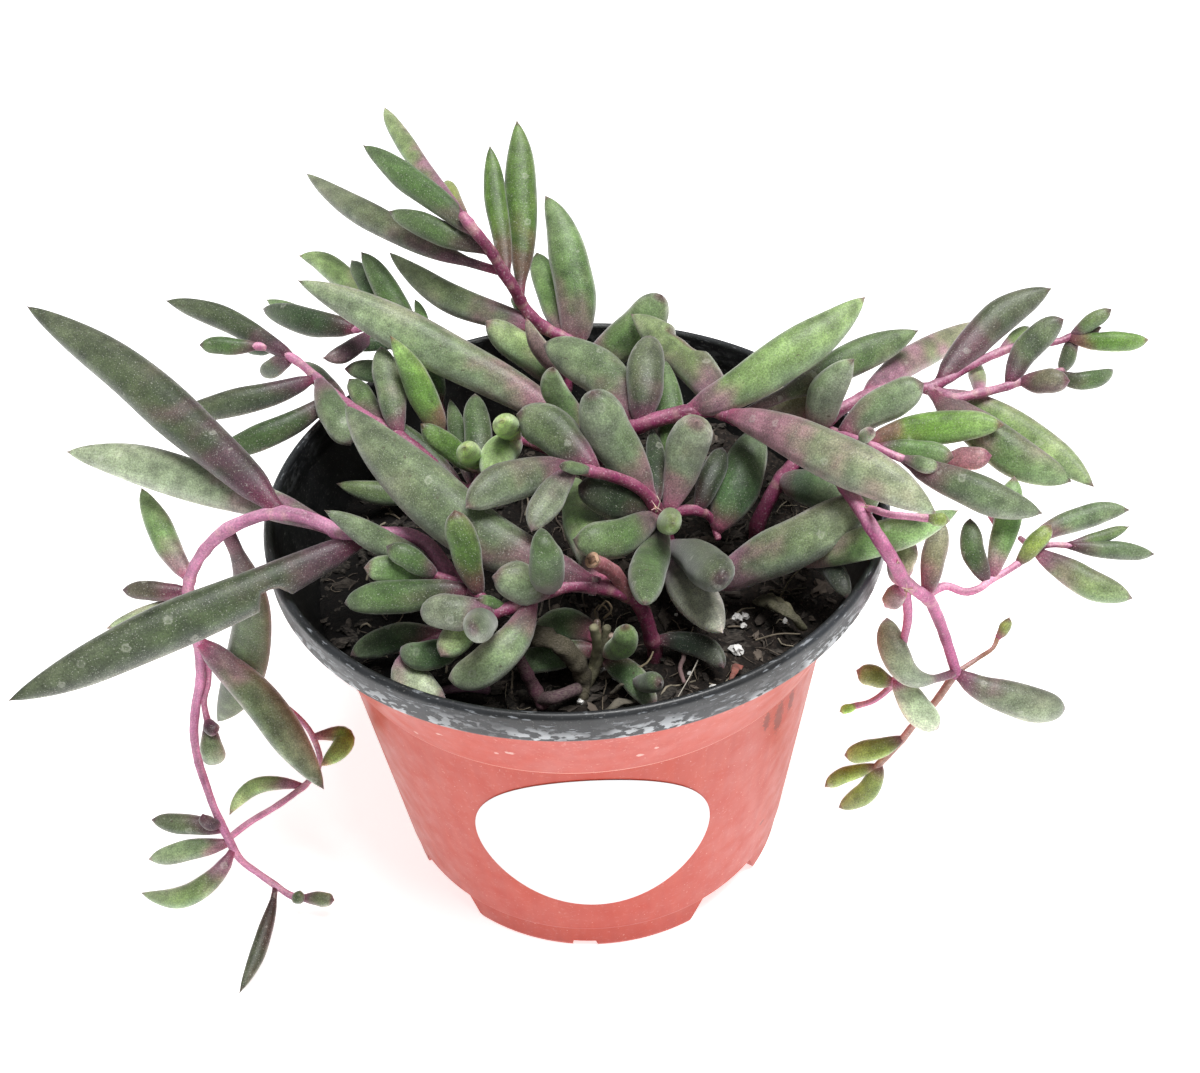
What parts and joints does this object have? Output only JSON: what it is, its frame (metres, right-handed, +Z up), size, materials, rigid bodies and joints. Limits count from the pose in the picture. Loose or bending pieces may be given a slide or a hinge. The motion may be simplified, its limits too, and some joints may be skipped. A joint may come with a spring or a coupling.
{
  "type": "potted string of pickles plant",
  "caption": "Trailing succulent with plump pointed leaves on thin stems, standing in soil in a round plastic nursery pot with cut-out feet and a bare round sticker.",
  "frame": {"origin": "bottom centre of the whole object's box, level with the table; the pot's axis stands 4.4 mm towards -X and 8.9 mm towards -Y of it", "axes": "+Z up, -Y towards the side with the round sticker, +X to the right when the sticker is looked at"},
  "size_m": [0.1892, 0.1228, 0.119],
  "materials": {
    "pot_plastic": "satin",
    "potting_soil": "matte",
    "sticker_paper": "satin",
    "leaf_and_stem": "satin"
  },
  "bodies": {
    "root": {"pot": "pot_plastic", "soil": "potting_soil", "sticker": "sticker_paper", "stem_back": "leaf_and_stem", "stem_back_left": "leaf_and_stem", "stem_left_arch": "leaf_and_stem", "stem_front": "leaf_and_stem", "stem_middle": "leaf_and_stem", "stem_right": "leaf_and_stem", "stem_right_back": "leaf_and_stem", "stem_young_shoots": "leaf_and_stem"}
  },
  "joints": []
}
